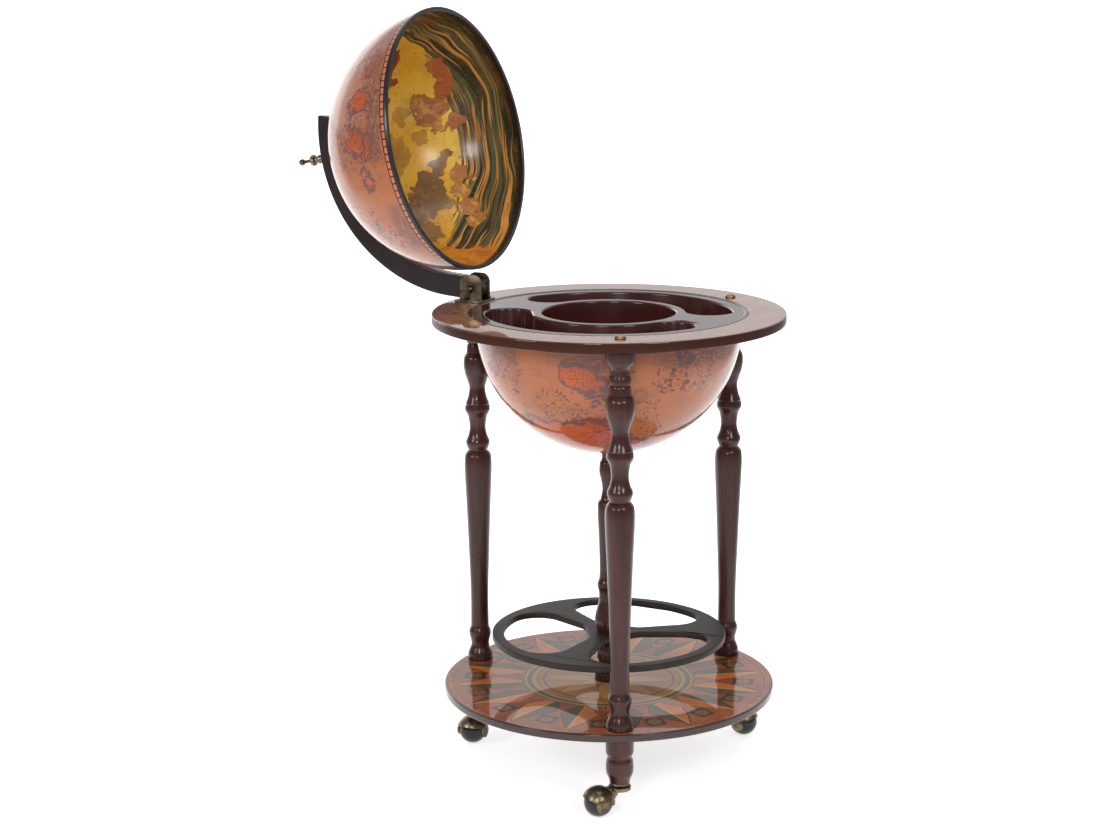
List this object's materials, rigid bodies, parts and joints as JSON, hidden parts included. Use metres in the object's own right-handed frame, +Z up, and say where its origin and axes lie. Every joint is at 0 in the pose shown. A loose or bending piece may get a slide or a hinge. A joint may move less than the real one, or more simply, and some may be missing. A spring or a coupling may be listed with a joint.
{
  "type": "floor globe bar",
  "caption": "Globe drinks bar on turned legs with ball casters: a hinged upper globe half opens over a ring board with wells; round shelf with bottle holder below.",
  "frame": {"origin": "on the floor, under the middle of the outline seen from above with the lid open", "axes": "+Z up; -X towards the lid's hinge leg; the hinge axis lies along Y"},
  "size_m": [0.6866, 0.45, 0.9765],
  "materials": {
    "printed_board": "glossy printed board with a dark lacquered edge",
    "turned_wood": "dark mahogany gloss lacquer",
    "holder_black": "satin",
    "globe_print": "printed paper on a moulded shell, satin varnish",
    "rim_black": "satin",
    "insert_plastic": "gloss",
    "bright_brass": "polished",
    "aged_brass": "aged, satin",
    "dark_steel": "plain",
    "caster_ball": "satin"
  },
  "bodies": {
    "frame": {"shelf": "printed_board", "leg_hinge": "turned_wood", "foot_hinge": "turned_wood", "leg_stud_hinge": "dark_steel", "caster_stem_hinge": "aged_brass", "leg_front": "turned_wood", "foot_front": "turned_wood", "leg_stud_front": "dark_steel", "caster_stem_front": "aged_brass", "leg_side": "turned_wood", "foot_side": "turned_wood", "leg_stud_side": "dark_steel", "caster_stem_side": "aged_brass", "column_base": "turned_wood", "column_shaft": "turned_wood", "column_rod": "dark_steel", "rod_nut_lower": "dark_steel", "rod_nut_upper": "dark_steel", "bottle_holder": "holder_black", "horizon_ring": "printed_board", "bowl": "globe_print", "tray_plate": "insert_plastic", "bottle_well": "insert_plastic", "glass_well_front": "insert_plastic", "glass_well_back": "insert_plastic", "ring_bolt_front": "dark_steel", "bolt_cap_front": "bright_brass", "ring_bolt_side": "dark_steel", "bolt_cap_side": "bright_brass", "hinge_bracket": "aged_brass", "bracket_bolt": "dark_steel", "bracket_screw_1": "aged_brass", "bracket_screw_2": "aged_brass", "bracket_screw_3": "aged_brass", "bracket_screw_4": "aged_brass", "hinge_bolt": "aged_brass", "hinge_nut": "aged_brass"},
    "lid": {"dome": "globe_print", "dome_rim": "rim_black", "meridian_arm": "turned_wood", "pole_spacer": "turned_wood", "pole_bolt": "aged_brass", "finial": "aged_brass"},
    "caster_swivel_hinge": {"caster_hood_hinge": "aged_brass", "caster_axle_hinge": "dark_steel"},
    "caster_ball_body_hinge": {"caster_ball_hinge": "caster_ball"},
    "caster_swivel_front": {"caster_hood_front": "aged_brass", "caster_axle_front": "dark_steel"},
    "caster_ball_body_front": {"caster_ball_front": "caster_ball"},
    "caster_swivel_side": {"caster_hood_side": "aged_brass", "caster_axle_side": "dark_steel"},
    "caster_ball_body_side": {"caster_ball_side": "caster_ball"}
  },
  "joints": [
    {"name": "lid_hinge", "type": "hinge", "parent": "frame", "child": "lid", "pos_m": [-0.07591, 0, 0.6154], "axis": [0, 1, 0], "range_deg": [0, 101.1]},
    {"name": "caster_swivel_hinge", "type": "hinge", "parent": "frame", "child": "caster_swivel_hinge", "pos_m": [-0.07421, 0, 0.01825], "axis": [0, 0, 1], "continuous": true},
    {"name": "caster_roll_hinge", "type": "hinge", "parent": "caster_swivel_hinge", "child": "caster_ball_body_hinge", "pos_m": [-0.07133, -0.02785, 0.01825], "axis": [0.9947, 0.1028, 0], "continuous": true},
    {"name": "caster_swivel_front", "type": "hinge", "parent": "frame", "child": "caster_swivel_front", "pos_m": [0.21454, -0.16671, 0.01825], "axis": [0, 0, 1], "continuous": true},
    {"name": "caster_roll_front", "type": "hinge", "parent": "caster_swivel_front", "child": "caster_ball_body_front", "pos_m": [0.19523, -0.18699, 0.01825], "axis": [0.7242, -0.6896, 0], "continuous": true},
    {"name": "caster_swivel_side", "type": "hinge", "parent": "frame", "child": "caster_swivel_side", "pos_m": [0.21454, 0.16671, 0.01825], "axis": [0, 0, 1], "continuous": true},
    {"name": "caster_roll_side", "type": "hinge", "parent": "caster_swivel_side", "child": "caster_ball_body_side", "pos_m": [0.24243, 0.16422, 0.01825], "axis": [0.0889, 0.996, 0], "continuous": true}
  ]
}
